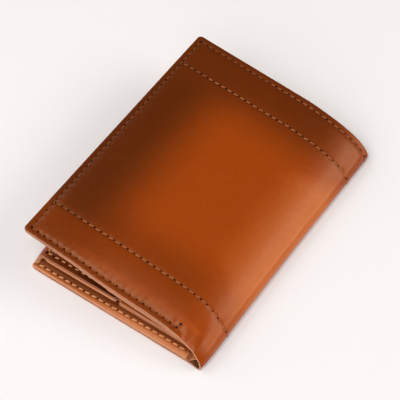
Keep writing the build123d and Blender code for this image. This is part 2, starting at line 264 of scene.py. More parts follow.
def sheet(name, track, us, vs, ylo, yhi, thick, mats, relief=None, base=None, inner_relief=0.35,
          bulge=0.25, cut_ends=(False, False), burn=None, inner_tone_and_shade=None, rings=(0.06, 0.2, 0.4, 0.6, 0.8, 0.94), wob=0.0, seed=0):
    """A closed sheet along a track. us: stations along it; vs: 0..1 across;
    ylo, yhi: its edges at each station. `base` moves both faces and `relief` the
    outer one. The rims are rounded, except where an end is a plain cut that
    meets the next piece."""
    nu, nv = len(us), len(vs)
    lo, hi = ylo(us), yhi(us)
    U = np.repeat(us[:, None], nv, 1)
    b = bulge * (1.0 if callable(thick) else thick)
    ph = np.random.default_rng(seed + 11).uniform(0, 6.28, 8)
    wlo = wob * (np.sin(us / 7.3 + ph[0]) + 0.6 * np.sin(us / 3.1 + ph[1]))
    whi = wob * (np.sin(us / 8.1 + ph[2]) + 0.6 * np.sin(us / 2.9 + ph[3]))
    Y = (lo + b + wlo)[:, None] * (1 - vs[None, :]) + (hi - b + whi)[:, None] * vs[None, :]
    Ue, span = U.copy(), us[-1] - us[0]
    if not cut_ends[0]:
        Ue = Ue + b * (1 - (U - us[0]) / span)
    if not cut_ends[1]:
        Ue = Ue - b * ((U - us[0]) / span)
    P, T, N = track.at(Ue)
    H = relief(Ue, Y) if relief is not None else np.zeros_like(Y)
    B = base(Ue, Y) if base is not None else np.zeros_like(Y)
    top = P + N * (B + H)[..., None]
    TH = thick(Ue, Y) if callable(thick) else np.full_like(Ue, thick)
    bot = P + N * (B + H * inner_relief - TH)[..., None]
    verts = [np.stack([top[..., 0], Y, top[..., 1]], -1).reshape(-1, 3),
             np.stack([bot[..., 0], Y, bot[..., 1]], -1).reshape(-1, 3)]
    luv = [np.stack([U, Y, H], -1).reshape(-1, 3), np.stack([U + 400, Y, H], -1).reshape(-1, 3)]
    idx = np.arange(nu * nv).reshape(nu, nv)
    off = nu * nv
    quads = np.stack([idx[:-1, :-1].ravel(), idx[1:, :-1].ravel(), idx[1:, 1:].ravel(), idx[:-1, 1:].ravel()], 1)
    faces = quads.tolist() + (quads[:, ::-1] + off).tolist()
    mi = [0] * len(quads) + [2 if len(mats) > 2 else 0] * len(quads)
    loop = ([(0, j) for j in range(nv - 1)] + [(i, nv - 1) for i in range(nu - 1)] +
            [(nu - 1, j) for j in range(nv - 1, 0, -1)] + [(i, 0) for i in range(nu - 1, 0, -1)])
    L = len(loop)
    li = np.array([idx[i, j] for i, j in loop])
    uu = np.array([Ue[i, j] for i, j in loop])
    yy = np.array([Y[i, j] for i, j in loop])
    du = np.roll(uu, -1) - np.roll(uu, 1)
    dy = np.roll(yy, -1) - np.roll(yy, 1)
    ln = np.hypot(du, dy) + 1e-12
    ou, oy = -dy / ln, du / ln
    side = np.array([0 if i == 0 else (1 if i == nu - 1 else -1) for i, j in loop])
    at_cut = np.array([(s == 0 and cut_ends[0]) or (s == 1 and cut_ends[1]) for s in side])
    sgn = np.array([-1 if j == 0 else (1 if j == nv - 1 else 0) for i, j in loop])
    ou = np.where(at_cut, 0, ou)
    oy = np.where(at_cut, sgn, oy)
    Pl, Tl, Nl = track.at(uu)
    tp, bt = verts[0][li], verts[1][li]
    ring_ids = [li]
    nxt = 2 * off
    rim = np.zeros((2 * off, 3))
    thl = np.array([TH[i, j] for i, j in loop])
    rim[li] = np.stack([uu + yy, thl * 0, yy * 0], -1)
    rim[li + off] = np.stack([uu + yy, thl, yy * 0], -1)
    rims = [rim]
    for f in rings:
        g = max(0.0, 1 - abs(2 * f - 1) ** 2.6) ** 0.5
        q = tp * (1 - f) + bt * f + np.stack([Tl[:, 0] * ou, oy, Tl[:, 1] * ou], -1) * (b * g)
        verts.append(q)
        luv.append(np.stack([uu, yy, yy * 0], -1))
        rims.append(np.stack([uu + yy, f * thl, yy * 0], -1))
        ring_ids.append(np.arange(nxt, nxt + L))
        nxt += L
    ring_ids.append(li + off)
    for A, Bq in zip(ring_ids[:-1], ring_ids[1:]):
        q = np.stack([A, np.roll(A, -1), np.roll(Bq, -1), Bq], 1)
        faces += q.tolist()
        mi += [1 if len(mats) > 1 else 0] * L
    sharp = []
    for end, row in ((0, 0), (1, nu - 1)):
        if cut_ends[end]:
            for o in (0, off):
                ids = idx[row] + o
                sharp += list(zip(ids[:-1], ids[1:]))
    BU = None
    if burn is not None:
        bt_ = burn(Ue, Y).reshape(-1)
        inn = bt_ * 0.4 if inner_tone_and_shade is None else inner_tone_and_shade(Ue, Y).reshape(-1)
        BU = np.concatenate([bt_, inn] + [bt_[li]] * len(rings))
    return build(name, np.concatenate(verts), faces, mats, mi, np.concatenate(luv), BU, sharp, np.concatenate(rims))


# -------------------------------------------------------------------- materials
def node(nt, kind, loc=(0, 0), **vals):
    n = nt.nodes.new(kind)
    n.location = loc
    for k, v in vals.items():
        if k.startswith("in_"):
            n.inputs[k[3:].replace("_", " ")].default_value = v
        else:
            setattr(n, k, v)
    return n


def remap(nt, src, f0, f1, t0, t1, loc=(0, 0)):
    n = node(nt, "ShaderNodeMapRange", loc, in_From_Min=f0, in_From_Max=f1, in_To_Min=t0, in_To_Max=t1)
    nt.links.new(src, n.inputs["Value"])
    return n.outputs["Result"]


def begin(name):
    mt = bpy.data.materials.new(name)
    mt.use_nodes = True
    nt = mt.node_tree
    nt.nodes.clear()
    out = node(nt, "ShaderNodeOutputMaterial", (900, 0))
    bs = node(nt, "ShaderNodeBsdfPrincipled", (600, 0))
    nt.links.new(bs.outputs[0], out.inputs[0])
    co = node(nt, "ShaderNodeAttribute", (-900, 0), attribute_name="luv")
    bu = node(nt, "ShaderNodeAttribute", (-900, 300), attribute_name="burn")
    return mt, nt, bs, co, bu


def ramp_of(nt, src, stops, loc=(0, 0)):
    r = node(nt, "ShaderNodeValToRGB", loc)
    e = r.color_ramp.elements
    e[0].position, e[0].color = stops[0][0], (*stops[0][1], 1)
    e[1].position, e[1].color = stops[-1][0], (*stops[-1][1], 1)
    for p, c in stops[1:-1]:
        e.new(p).color = (*c, 1)
    nt.links.new(src, r.inputs["Fac"])
    return r.outputs["Color"]


def scaled(nt, color, fac, loc=(0, 0)):
    """color times a grey factor."""
    mix = node(nt, "ShaderNodeMix", loc, data_type="RGBA", blend_type="MULTIPLY")
    mix.inputs["Factor"].default_value = 1.0
    cmb = node(nt, "ShaderNodeCombineColor", (loc[0] - 150, loc[1] - 150))
    for k in range(3):
        nt.links.new(fac, cmb.inputs[k])
    nt.links.new(color, mix.inputs["A"])
    nt.links.new(cmb.outputs[0], mix.inputs["B"])
    return mix.outputs["Result"]


def leather(name, stops, rough=0.36, grain=0.05, mottle=0.12, fine=2.4, spec=0.5, low=-0.5, high=1.0, scratch=0.0, tint=(1, 1, 1)):
    """Smooth aniline leather: cloudy dye, hand-burnished tone from the burn
    attribute (stops run from `low` to 1; in places the attribute also carries
    painted shade and painted highlights), fine pores and creases in the bump and
    a slightly uneven polish."""
    mt, nt, bs, co, bu = begin(name)
    vec = co.outputs["Vector"]

    def noise(scale, detail, rg, loc, src=vec):
        n = node(nt, "ShaderNodeTexNoise", loc, in_Scale=scale, in_Detail=detail, in_Roughness=rg)
        nt.links.new(src, n.inputs["Vector"])
        return n.outputs["Fac"]
    cloud = noise(0.085, 5.0, 0.62, (-650, 150))
    spots = noise(0.9, 4.0, 0.7, (-650, -50))
    add = node(nt, "ShaderNodeMath", (-400, 250), operation="MULTIPLY_ADD")
    nt.links.new(cloud, add.inputs[0])
    add.inputs[1].default_value = mottle * 3.0
    add.inputs[2].default_value = -mottle * 1.5
    add2 = node(nt, "ShaderNodeMath", (-220, 300), operation="ADD")
    nt.links.new(add.outputs[0], add2.inputs[0])
    nt.links.new(bu.outputs["Fac"], add2.inputs[1])
    fac = remap(nt, add2.outputs[0], low, high, 0.0, 1.0, (-100, 300))
    col = ramp_of(nt, fac, [((p - low) / (high - low), c) for p, c in stops], (50, 300))
    col = scaled(nt, col, remap(nt, spots, 0.3, 0.7, 0.93, 1.06, (0, 50)), (300, 200))
    # pores gather dye: the cells' rims print a little darker
    pores = node(nt, "ShaderNodeTexVoronoi", (-650, -300), feature="DISTANCE_TO_EDGE", in_Scale=fine)
    warp = node(nt, "ShaderNodeVectorMath", (-800, -300), operation="MULTIPLY_ADD")
    nw = node(nt, "ShaderNodeTexNoise", (-1000, -300), in_Scale=0.8, in_Detail=2.0)
    nt.links.new(vec, nw.inputs["Vector"])
    nt.links.new(nw.outputs["Color"], warp.inputs[0])
    warp.inputs[1].default_value = (0.9, 0.9, 0.9)
    nt.links.new(vec, warp.inputs[2])
    nt.links.new(warp.outputs[0], pores.inputs["Vector"])
    pr = remap(nt, pores.outputs["Distance"], 0.0, 0.16, 0.0, 1.0, (-420, -300))
    col = scaled(nt, col, remap(nt, pr, 0.0, 1.0, 0.965, 1.0, (150, -100)), (420, 200))
    nt.links.new(col, bs.inputs["Base Color"])
    wr = noise(0.42, 4.0, 0.55, (-650, -520))
    mic = noise(7.0, 2.0, 0.5, (-650, -700))
    h1 = node(nt, "ShaderNodeMath", (-200, -380), operation="MULTIPLY_ADD")
    nt.links.new(wr, h1.inputs[0])
    h1.inputs[1].default_value = 1.5
    prs = node(nt, "ShaderNodeMath", (-300, -300), operation="MULTIPLY")
    prs.inputs[1].default_value = 0.22
    nt.links.new(pr, prs.inputs[0])
    nt.links.new(prs.outputs[0], h1.inputs[2])
    h2 = node(nt, "ShaderNodeMath", (-50, -420), operation="MULTIPLY_ADD")
    nt.links.new(mic, h2.inputs[0])
    h2.inputs[1].default_value = 0.16
    nt.links.new(h1.outputs[0], h2.inputs[2])
    height = h2.outputs[0]
    if scratch:
        mp = node(nt, "ShaderNodeMapping", (-850, -900))
        mp.inputs["Scale"].default_value = (2.6, 0.16, 1)
        mp.inputs["Rotation"].default_value = (0, 0, 0.25)
        nt.links.new(vec, mp.inputs["Vector"])
        sc = noise(1.0, 3.0, 0.6, (-650, -900), mp.outputs[0])
        h3 = node(nt, "ShaderNodeMath", (100, -500), operation="MULTIPLY_ADD")
        nt.links.new(sc, h3.inputs[0])
        h3.inputs[1].default_value = scratch
        nt.links.new(height, h3.inputs[2])
        height = h3.outputs[0]
    bump = node(nt, "ShaderNodeBump", (300, -300), in_Strength=0.7, in_Distance=grain * 0.001)
    nt.links.new(height, bump.inputs["Height"])
    nt.links.new(bump.outputs[0], bs.inputs["Normal"])
    nt.links.new(remap(nt, wr, 0.3, 0.7, rough - 0.05, rough + 0.06, (300, -80)), bs.inputs["Roughness"])
    bs.inputs["Specular IOR Level"].default_value = spec
    bs.inputs["Specular Tint"].default_value = (*tint, 1)
    return mt


def edge_mat(name, light, dark, rough=0.5, layers=5.0):
    """Cut and slicked leather edge: fibres and fine lines along the edge; luv.y
    runs through the thickness."""
    mt, nt, bs, co, bu = begin(name)
    co.attribute_name = "rim"
    mp = node(nt, "ShaderNodeMapping", (-700, 0))
    mp.inputs["Scale"].default_value = (0.22, layers, 1.0)
    nt.links.new(co.outputs["Vector"], mp.inputs["Vector"])
    nz = node(nt, "ShaderNodeTexNoise", (-450, 0), in_Scale=1.2, in_Detail=5.0, in_Roughness=0.65)
    nt.links.new(mp.outputs[0], nz.inputs["Vector"])
    # the burn attribute darkens the edge, so it carries the face's burnish and also its painted shade and highlights
    sum_ = node(nt, "ShaderNodeMath", (-250, 100), operation="MULTIPLY_ADD")
    nt.links.new(bu.outputs["Fac"], sum_.inputs[0])
    sum_.inputs[1].default_value = -0.42
    nt.links.new(nz.outputs["Fac"], sum_.inputs[2])
    col = ramp_of(nt, sum_.outputs[0], [(0.0, dark), (0.62, light)], (-100, 0))
    nt.links.new(col, bs.inputs["Base Color"])
    bump = node(nt, "ShaderNodeBump", (300, -300), in_Strength=0.6, in_Distance=0.00007)
    nt.links.new(nz.outputs["Fac"], bump.inputs["Height"])
    nt.links.new(bump.outputs[0], bs.inputs["Normal"])
    nt.links.new(remap(nt, nz.outputs["Fac"], 0.3, 0.7, rough - 0.06, rough + 0.08, (300, -80)), bs.inputs["Roughness"])
    return mt


def fabric(name, a, b, scale=1.6):
    """Fine plain-weave lining."""
    mt, nt, bs, co, bu = begin(name)
    w1 = node(nt, "ShaderNodeTexWave", (-600, 150), bands_direction="X", in_Scale=scale, in_Distortion=0.4)
    w2 = node(nt, "ShaderNodeTexWave", (-600, -150), bands_direction="Y", in_Scale=scale, in_Distortion=0.4)
    for w in (w1, w2):
        nt.links.new(co.outputs["Vector"], w.inputs["Vector"])
    mul = node(nt, "ShaderNodeMath", (-350, 0), operation="MAXIMUM")
    nt.links.new(w1.outputs["Fac"], mul.inputs[0])
    nt.links.new(w2.outputs["Fac"], mul.inputs[1])
    nt.links.new(ramp_of(nt, mul.outputs[0], [(0.1, b), (0.9, a)], (-100, 0)), bs.inputs["Base Color"])
    bump = node(nt, "ShaderNodeBump", (300, -300), in_Strength=0.5, in_Distance=0.00005)
    nt.links.new(mul.outputs[0], bump.inputs["Height"])
    nt.links.new(bump.outputs[0], bs.inputs["Normal"])
    bs.inputs["Roughness"].default_value = 0.85
    bs.inputs["Sheen Weight"].default_value = 0.15
    return mt


def thread_mat(name, a, b):
    """Waxed twisted thread; luv.x runs along the stitch, luv.y around it."""
    mt, nt, bs, co, bu = begin(name)
    w1 = node(nt, "ShaderNodeTexWave", (-600, 0), bands_direction="DIAGONAL", in_Scale=0.55, in_Distortion=0.5)
    nt.links.new(co.outputs["Vector"], w1.inputs["Vector"])
    nz = node(nt, "ShaderNodeTexNoise", (-600, -250), in_Scale=0.9, in_Detail=3.0)
    nt.links.new(co.outputs["Vector"], nz.inputs["Vector"])
    mul = node(nt, "ShaderNodeMath", (-380, 0), operation="MULTIPLY")
    nt.links.new(w1.outputs["Fac"], mul.inputs[0])
    nt.links.new(nz.outputs["Fac"], mul.inputs[1])
    nt.links.new(ramp_of(nt, mul.outputs[0], [(0.08, b), (0.4, a)], (-150, 0)), bs.inputs["Base Color"])
    bump = node(nt, "ShaderNodeBump", (300, -300), in_Strength=0.6, in_Distance=0.00008)
    nt.links.new(w1.outputs["Fac"], bump.inputs["Height"])
    nt.links.new(bump.outputs[0], bs.inputs["Normal"])
    nt.links.new(remap(nt, nz.outputs["Fac"], 0.3, 0.7, 0.42, 0.58, (300, -80)), bs.inputs["Roughness"])
    bs.inputs["Specular IOR Level"].default_value = 0.3
    bs.inputs["Specular Tint"].default_value = (1.0, 0.75, 0.5, 1)
    return mt


def hole_mat(name, deep=(0.010, 0.003, 0.001), rim=(0.030, 0.009, 0.003)):
    """The shaded inside of an awl hole."""
    mt, nt, bs, co, bu = begin(name)
    nz = node(nt, "ShaderNodeTexNoise", (-600, 0), in_Scale=2.0, in_Detail=2.0)
    nt.links.new(co.outputs["Vector"], nz.inputs["Vector"])
    nt.links.new(ramp_of(nt, nz.outputs["Fac"], [(0.3, deep), (0.7, rim)], (-150, 0)),
                 bs.inputs["Base Color"])
    bs.inputs["Roughness"].default_value = 0.9
    bs.inputs["Specular IOR Level"].default_value = 0.1
    return mt


# the stops below 0 are light tan, for the rubbed spine and the painted highlights; the stop at 1.5 is near black,
# painted shade for the tucked flap
M_OUT = leather("hide_outer", [(-0.5, (0.56, 0.125, 0.020)), (0.0, (0.335, 0.0500, 0.0025)), (0.5, (0.240, 0.037, 0.0022)),
                               (1.0, (0.126, 0.0212, 0.0017)), (1.5, (0.036, 0.0055, 0.0008))], high=1.5, rough=0.33, grain=0.03, mottle=0.03, fine=1.9, scratch=0.4,
                tint=(1.0, 0.62, 0.36))
# the flesh side's near-black end is painted shade for the spine's hollow
M_FLESH = leather("hide_flesh", [(0.0, (0.42, 0.16, 0.055)), (0.5, (0.20, 0.07, 0.02)), (1.0, (0.018, 0.005, 0.002))], rough=0.7, grain=0.08, mottle=0.15,
                  fine=1.6, spec=0.3, low=0.0)
M_EDGE = edge_mat("hide_edge", (0.78, 0.33, 0.17), (0.27, 0.085, 0.028))
# the stop at 1.5 is near black, painted shade for the back facing's inner part
M_IN = leather("hide_inner", [(0.0, (0.65, 0.238, 0.098)), (0.5, (0.41, 0.108, 0.022)), (1.0, (0.22, 0.044, 0.006)), (1.5, (0.045, 0.010, 0.002))], high=1.5, rough=0.45,
               grain=0.04, mottle=0.10, fine=1.9, low=0.0, scratch=1.2, tint=(1.0, 0.72, 0.46))
M_IN_EDGE = edge_mat("hide_inner_edge", (0.72, 0.30, 0.15), (0.30, 0.10, 0.035))
M_LIN = fabric("lining_weave", (0.26, 0.12, 0.05), (0.13, 0.055, 0.02))
M_LIN_EDGE = edge_mat("lining_edge", (0.46, 0.19, 0.09), (0.20, 0.07, 0.025))
M_THREAD = thread_mat("waxed_thread", (0.47, 0.155, 0.055), (0.22, 0.07, 0.02))
M_THREAD_MID = thread_mat("waxed_thread_rubbed", (0.31, 0.098, 0.034), (0.14, 0.042, 0.012))
M_THREAD_DARK = thread_mat("waxed_thread_burnished", (0.25, 0.078, 0.029), (0.11, 0.033, 0.011))
M_THREAD_LIGHT = thread_mat("waxed_thread_inner", (0.86, 0.40, 0.18), (0.50, 0.20, 0.08))
M_HOLE = hole_mat("stitch_hole")
M_HOLE_SOFT = hole_mat("stitch_hole_inner", (0.075, 0.020, 0.006), (0.14, 0.040, 0.012))

# ----------------------------------------------------------- the outer hide
U_SHEAR = u_where(69.0, u_nose, U_END)


def yc_of(u):
    """Middle of the hide across its length: it shears a little round the spine."""
    return YB + (YC - YB) * smooth((u - (U_TUCK + 2.0)) / (U_SHEAR - U_TUCK - 2.0))


def half_of(u):
    u = np.asarray(u, float)
    h = FLAP_HALF + (HALF - FLAP_HALF) * smooth((u - U_FOLD0 - 0.2) / (U_FOLD1 - U_FOLD0 - 1.6))
    for start, r, sign in ((0.0, 0.9, 1), (U_END, 1.6, -1)):
        q = np.clip((u - start) * sign, 0, r)
        h = h - (r - np.sqrt(np.maximum(0, r * r - (r - q) ** 2)))
    return h


def far_of(u):
    """Middle of the hide as its far edge sees it: there the shear is all under the spine."""
    return YB + (YC - YB) * smooth((u - (U_TUCK - 3.0)) / (U_SEAM - U_TUCK + 4.0))


def hide_lo(u):
    # the spine's turn stands out a little at this end
    return yc_of(u) - half_of(u) - 0.5 * gauss(u - (U_TUCK + 2.6), 2.6)


def hide_hi(u):
    return far_of(u) + half_of(u) + 0.25 * smooth((u - U_TUCK) / 6.0)


def puff(dist, lam):
    return 1 - np.exp(-np.maximum(dist, 0) / lam)


U_R = U_END - EDGE_ROW                      # the row along the free edge
U_NEAR_STOP = U_END - 71.4                  # where the near row ends, short of the spine


def spacing(a, b):
    n = max(1, round((b - a) / PITCH))
    return (b - a) / n


def run(a, b):
    n = max(1, round((b - a) / PITCH))
    return a + (b - a) * (np.arange(n) + 0.5) / n


ROW_U = (U_NEAR_STOP, U_R - 0.2)            # stitch runs, so puckers fall between stitches
CROSS_U = (U_SEAM + 0.4, U_R - 0.6)
ROW_Y = (YC - HALF + EDGE_ROW + 0.2, YC + HALF - EDGE_ROW - 0.2)


def beat(x, span):
    return np.cos(2 * math.pi * (x - span[0]) / spacing(*span))


U_FOLDM = 0.5 * (U_FOLD0 + U_FOLD1)


def hide_base(u, y):
    """Both faces: the left fold is pinched in where its ends are cut back."""
    n = y - hide_lo(u)
    f = hide_hi(u) - y
    left = (1.15 * np.exp(-np.maximum(n, 0) / 5.0) + 0.8 * np.exp(-np.maximum(f, 0) / 5.0)) * gauss(u - U_FOLDM + 0.4, 3.1)
    return -left - 0.9 * np.exp(-np.maximum(n, 0) / 3.2) * gauss(u - u_nose - 1.5, 4.2)


def hide_relief(u, y):
    """Height of the outer face: stitch rows sink, the leather between them
    swells, free edges roll down, and the thread draws small puckers."""
    lo, hi = yc_of(u) - HALF, far_of(u) + HALF
    near, far = y - lo, hi - y
    s = U_END - u
    h = np.zeros_like(u + y)
    # --- cover and spine
    on_cover = smooth((u - (U_TUCK + 3.0)) / 6.0)
    near_row = smooth((76.5 - s) / 4.0)
    far_row = 1.0
    rise = 0.95 * puff(near - EDGE_ROW * near_row, 2.7) * puff(far - EDGE_ROW, 2.2) * puff(s - EDGE_ROW, 2.2)
    keep_n, keep_f = smooth((near - 1.6) / 1.2), smooth((far - 1.6) / 1.2)
    dip = 0.20 * (gauss(near - EDGE_ROW, 0.7) * near_row * smooth((s - 1.6) / 1.2)
                  + gauss(far - EDGE_ROW, 0.7) * smooth((s - 1.6) / 1.2)
                  + gauss(s - EDGE_ROW, 0.7) * keep_n * keep_f)
    seam = smooth((s - EDGE_ROW) / 1.5)
    for d in (near - CROSS_ROW, far - CROSS_ROW):
        dip = dip + (0.17 * gauss(d, 0.7) + 0.12 * gauss(d, 2.8)) * seam
        h = h + on_cover * seam * 0.035 * beat(u, CROSS_U) * gauss(d, 1.6)
    wave = (0.12 * np.sin(u / 15.0 + 0.6) * np.sin(y / 21.0 + 1.1) + 0.05 * np.sin(u / 6.1 + y / 17.0)
            + 0.05 * np.sin(y / 9.0 - u / 23.0 + 2.0))
    fade = puff(near - 2.0, 3.0) * puff(far - 2.0, 3.0) * puff(s - 2.0, 3.0)
    pk = 0.060 * beat(u, ROW_U) * (gauss(near - EDGE_ROW - 1.0, 1.5) + 0.6 * gauss(near - 1.2, 0.7)) * near_row
    pk = pk + 0.045 * beat(u, ROW_U) * gauss(far - EDGE_ROW - 0.8, 1.3) * far_row
    pk = pk + 0.050 * beat(y, ROW_Y) * gauss(s - EDGE_ROW - 0.9, 1.4) * keep_n * keep_f
    # longer draws that run in from the near row
    pk = pk + 0.05 * np.sin(u * 2 * math.pi / 8.3 + 0.9 * np.sin(u / 11.0)) * gauss(near - EDGE_ROW - 3.4, 2.4) * near_row
    roll = -0.16 * (np.clip(1 - near / EDGE_ROW, 0, 1) ** 2 + np.clip(1 - far / EDGE_ROW, 0, 1) ** 2
                    + np.clip(1 - s / EDGE_ROW, 0, 1) ** 2)
    roll = roll + 0.05 * (gauss(near - 1.2, 0.6) + gauss(far - 1.2, 0.6) + gauss(s - 1.2, 0.6))
    # a few pressure wrinkles near the middle of the spine
    for (cu, cy, r, a0) in ((83.0, 15.5, 5.0, 0.4), (81.4, 17.5, 4.2, 0.2), (84.2, 12.5, 3.6, 0.5)):
        dx, dy = (s - cu), (y - cy)
        rr = np.hypot(dx, dy * 0.8)
        ang = np.arctan2(dx, dy)
        pk = pk - 0.05 * gauss(rr - r, 0.38) * smooth((np.cos(ang - a0) - 0.35) / 0.4)
    h = h + on_cover * (rise - dip + wave * fade + pk + roll)
    # --- the back, lying on the table: rows sink, nothing swells outwards
    on_back = smooth((U_TUCK + 1 - u) / 3.0) * smooth((u - U_FOLD1) / 2.0)
    bd = 0.24 * (gauss(near - EDGE_ROW, 0.7) + gauss(far - EDGE_ROW, 0.7))
    bd = bd + 0.22 * (gauss(near - CROSS_ROW, 0.8) + gauss(far - CROSS_ROW, 0.8))
    soft = 0.10 * (1 + np.sin(u / 9.0 + 1.0) * np.sin(y / 13.0)) * puff(near - 3, 4) * puff(far - 3, 4)
    h = h - on_back * (bd + soft + 0.08 * gauss(near, 0.8) + 0.08 * gauss(far, 0.8))
    # --- the flap
    fl = smooth((U_FOLD0 + 1.5 - u) / 3.0)
    fn, ff = y - (YB - FLAP_HALF), (YB + FLAP_HALF) - y
    row = U_FOLD0 - 0.4
    fr = 0.32 * puff(fn - EDGE_ROW, 1.8) * puff(ff - EDGE_ROW, 1.8) * puff(u - EDGE_ROW, 1.8) * puff(row - u, 1.8)
    fd = 0.17 * (gauss(fn - EDGE_ROW, 0.65) + gauss(ff - EDGE_ROW, 0.65)) * smooth((u - 1.6) / 1.2)
    fd = fd + 0.17 * (gauss(u - EDGE_ROW, 0.65) + gauss(u - row, 0.65)) * smooth((fn - 1.6) / 1.2) * smooth((ff - 1.6) / 1.2)
    fp = 0.045 * beat(u, (EDGE_ROW + 0.2, row)) * gauss(fn - EDGE_ROW - 0.8, 1.3)
    fe = np.clip(1 - fn / EDGE_ROW, 0, 1) ** 2 + np.clip(1 - ff / EDGE_ROW, 0, 1) ** 2 + np.clip(1 - u / EDGE_ROW, 0, 1) ** 2
    h = h + fl * (fr - fd + fp - 0.22 * fe)
    return h


def hide_burnish_and_painted_light(u, y):
    """Hand-burnished tone: dark towards the free edge and the far band, rubbed
    light again over the spine. It also holds painted light: highlights just inside
    the near row and at the spine's near end, a reflection on the spine's nose,
    and shade on the flap tucked inside the wallet."""
    lo, hi = yc_of(u) - HALF, far_of(u) + HALF
    near, far = y - lo, hi - y
    s = U_END - u
    left = 1.10 * (1 - smooth((s - 11.0) / 30.0))
    left = left * (0.45 + 0.55 * smooth((near - 13.0) / 9.0))
    farb = 0.95 * smooth((37.5 - far) / 27.0) * (1 - 0.30 * smooth((s - 69.0) / 15.0))
    nearb = 0.52 * smooth((38.0 - near) / 19.0) * (1 - 0.35 * smooth((s - 66.0) / 14.0))
    b = 1 - (1 - left) * (1 - farb) * (1 - nearb)
    # outside the near row the margin stays dark
    b = b + 0.30 * (1 - b) * smooth((2.9 - near) / 0.8) * smooth((74.0 - s) / 4.0)
    # lighter over the spine: rubbed to a lighter tan, and towards the nose also a painted reflection
    b = b - (0.26 * smooth((s - 61.0) / 20.0) + 0.25 * smooth((s - 80.0) / 10.0)) * smooth((near + 6.0) / 16.0)
    # painted highlight: lighter just inside the near row, standing in for the sheen there, and at the spine's near end
    b = b - 0.26 * gauss(near - 6.0, 1.5) * smooth((s - 12.0) / 20.0) * (1 - smooth((s - 76.0) / 8.0))
    b = b - 0.08 * gauss(near - 9.0, 5.0) * gauss(s - 78.0, 5.0)
    # darker along the cross seams' thread lines
    seam = gauss(near - CROSS_ROW, 0.8) + gauss(far - CROSS_ROW, 0.8)
    b = b + 0.16 * seam * smooth((s - 2.0) / 2.0)
    b = b + 0.8 * gauss(s - 83.6, 0.38) * gauss(near - 3.6, 0.34)     # a small dark spot on the spine
    ed = np.minimum(near, far)
    back = 0.55 * smooth((16.0 - ed) / 14.0) + 0.12
    # painted shade: the flap lies tucked in the gap under the cover, so it is painted darker than any burnish, near
    # black towards its tip
    flap = 1.05 + 0.35 * smooth((24.0 - u) / 14.0) - 0.65 * smooth((u - (U_FOLD0 - 3.0)) / 5.0)
    w1 = smooth((u - U_FOLD1 + 2.0) / 5.0)
    w2 = smooth((u - U_TUCK) / 6.0)
    return np.clip(flap * (1 - w1) + back * w1 * (1 - w2) + b * w2, -0.5, 1.5)


rows_v = [0.0, EDGE_ROW, CROSS_ROW, 2 * HALF - CROSS_ROW, 2 * HALF - EDGE_ROW, 2 * HALF]
vs_hide = dense(0.0, 2 * HALF, 0.72, rows_v, 0.30, 1.1) / (2 * HALF)

UM1 = U_FOLD1 + 37.0
UM2 = U_SEAM
tip_u = [0.0, 0.04, 0.12, 0.25, 0.42, 0.65, 0.9, 1.3, 1.8, 2.4]
us1 = np.concatenate([tip_u, dense(3.0, U_FOLD0 - 2.0, 0.62, [3.0], 0.32, 1.0), np.arange(U_FOLD0 - 1.7, U_FOLD1 + 2.0, 0.28),
                      dense(U_FOLD1 + 2.3, UM1, 1.8, [UM1], 0.4, 0.6)])
us2 = np.concatenate([dense(UM1, U_TUCK - 0.6, 1.8, [UM1], 0.4, 0.6), np.arange(U_TUCK - 0.3, UM2 - 0.2, 0.28),
                      [UM2 - 0.06, UM2]])
free_u = [0.0, 0.05, 0.15, 0.32, 0.55, 0.85, 1.2, 1.6, 2.0, 2.4, 2.8]
us3 = np.concatenate([[UM2, UM2 + 0.06], dense(UM2 + 0.3, U_END - 3.2, 0.47, [U_END - EDGE_ROW], 0.32, 1.6),
                      (U_END - np.array(free_u))[::-1]])
us1, us2, us3 = (np.unique(np.round(a, 4)) for a in (us1, us2, us3))

def hide_inner(u, y):
    """The flesh side: painted shade, dark inside the spine's hollow."""
    return 0.35 + 0.46 * smooth((u - U_TUCK + 3.0) / 3.0) * smooth((U_SEAM + 2.0 - u) / 5.0)


def hide_thick(u, y):
    """Skived thinner where it turns round the spine."""
    return LEATHER - 0.45 * smooth((u - U_TUCK + 3.0) / 4.0) * smooth((U_SEAM + 6.0 - u) / 8.0) + 0 * y


hide_kw = dict(thick=hide_thick, inner_tone_and_shade=hide_inner, relief=hide_relief, base=hide_base, burn=hide_burnish_and_painted_light, bulge=0.22, mats=[M_OUT, M_EDGE, M_FLESH])
hide_a = sheet("outer_hide_flap", MAIN, us1, vs_hide, hide_lo, hide_hi, cut_ends=(False, True), **hide_kw)
hide_b = sheet("outer_hide_back", MAIN, us2, vs_hide, hide_lo, hide_hi, cut_ends=(True, True), **hide_kw)
hide_c = sheet("outer_hide_cover", MAIN, us3, vs_hide, hide_lo, hide_hi, cut_ends=(True, False), **hide_kw)


def P3(x, z, y=0.0):
    return ((x - X0) / 1000, y / 1000, z / 1000)


s_dir = np.array([0.406, 0.914])
start = np.array([80.9, 0.0])
start = start + s_dir * (33.7 - start @ s_dir)
c_dir = np.array([-0.8, 0.6])
COVER_BLEND = (P3(*(CREASE - c_dir * 3.2)), P3(*(CREASE + c_dir * 3.2)))

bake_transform(hide_a)
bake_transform(hide_b)
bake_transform(hide_c)
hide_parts("flap_shell", "flap_stiffener")
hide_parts("back_shell", "back_stiffener", "spine_shell")
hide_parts("cover_shell", "cover_stiffener")


